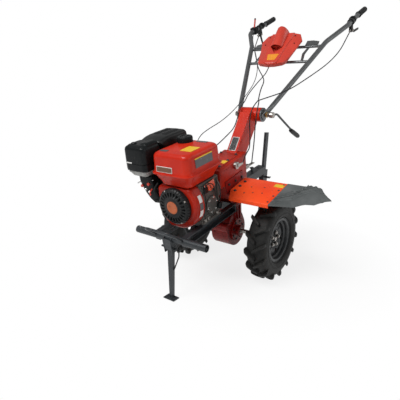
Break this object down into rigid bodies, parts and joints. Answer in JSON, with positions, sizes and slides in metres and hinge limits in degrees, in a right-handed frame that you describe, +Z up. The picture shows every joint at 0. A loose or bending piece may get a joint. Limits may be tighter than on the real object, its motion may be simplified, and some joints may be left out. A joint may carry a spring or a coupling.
{
  "type": "power weeder",
  "caption": "Walk-behind power weeder: petrol engine over a geared axle with lugged tyres, folding front stand, tilting handlebars, fenders and a sliding drag stake.",
  "frame": {"origin": "on the floor under the middle of the whole machine's box", "axes": "+X the machine's left, +Y to its rear where the operator walks, +Z up"},
  "size_m": [1.06, 1.6278, 1.4395],
  "materials": {
    "bare_steel": "bright",
    "black_plastic": "matte",
    "black_rubber": "matte",
    "black_steel": "satin black",
    "cast_metal": "as cast",
    "dark_steel": "satin dark grey",
    "gearbox_paint": "gloss enamel over casting",
    "grey_plastic": "matte",
    "grey_tube": "satin grey powder coat",
    "orange_paint": "gloss enamel",
    "red_paint": "gloss enamel",
    "red_plastic": "gloss",
    "tyre_rubber": "matte",
    "wheel_paint": "satin"
  },
  "bodies": {
    "chassis": {"air_cleaner": "black_plastic", "air_cleaner_tray": "grey_plastic", "bumper_tube": "dark_steel", "carburettor": "black_plastic", "clutch_arm": "bare_steel", "clutch_cable_lower": "black_rubber", "clutch_housing": "cast_metal", "cylinder_head": "cast_metal", "engine_crankcase": "cast_metal", "engine_frame": "dark_steel", "fan_shroud": "red_paint", "fender_bracket_left": "gearbox_paint", "fender_bracket_right": "gearbox_paint", "fender_flap_left": "black_rubber", "fender_flap_right": "black_rubber", "fender_left": "orange_paint", "fender_right": "orange_paint", "final_drive": "gearbox_paint", "fuel_cap": "black_plastic", "fuel_tank": "red_paint", "gearbox_case": "red_paint", "handle_column": "red_paint", "heat_guard": "black_steel", "hitch_drawbar": "dark_steel", "lifting_hoop": "dark_steel", "muffler": "black_steel", "recoil_starter": "black_steel", "reverse_cable_lower": "black_rubber", "shift_arm": "bare_steel", "stake_socket": "dark_steel", "stand_bracket": "dark_steel", "stop_cable_lower": "black_rubber", "throttle_wire_lower": "bare_steel"},
    "wheels": {"axle_shaft": "bare_steel", "tyre_left": "tyre_rubber", "rim_left": "wheel_paint", "wheel_hub_left": "black_steel", "tyre_right": "tyre_rubber", "rim_right": "wheel_paint", "wheel_hub_right": "black_steel"},
    "handlebar": {"clamp_crank": "bare_steel", "clutch_cable_upper": "black_rubber", "console_cover": "red_plastic", "console_frame": "grey_tube", "grip_left": "black_rubber", "grip_right": "black_rubber", "hand_lever_left": "black_steel", "hand_lever_right": "black_steel", "handlebar_left": "grey_tube", "handlebar_right": "grey_tube", "reverse_cable_upper": "black_rubber", "stop_cable_upper": "black_rubber", "throttle_block": "black_plastic", "throttle_wire_upper": "bare_steel", "tilt_bolt": "bare_steel"},
    "front_stand": {"stand_leg": "dark_steel", "stand_rod": "black_steel"},
    "stake": {"drag_stake": "dark_steel"}
  },
  "joints": [
    {"name": "wheel_spin", "type": "hinge", "parent": "chassis", "child": "wheels", "pos_m": [0, -0.2314, 0.21], "axis": [1, 0, 0], "continuous": true},
    {"name": "handle_tilt", "type": "hinge", "parent": "chassis", "child": "handlebar", "pos_m": [0, -0.01677, 0.81097], "axis": [1, 0, 0], "range_deg": [-20, 20]},
    {"name": "stand_fold", "type": "hinge", "parent": "chassis", "child": "front_stand", "pos_m": [0, -0.71392, 0.25204], "axis": [1, 0, 0], "range_deg": [0, 80]},
    {"name": "stake_slide", "type": "slide", "parent": "chassis", "child": "stake", "axis": [0, 0.0785, 0.9969], "range_m": [-0.05, 0.15]}
  ]
}
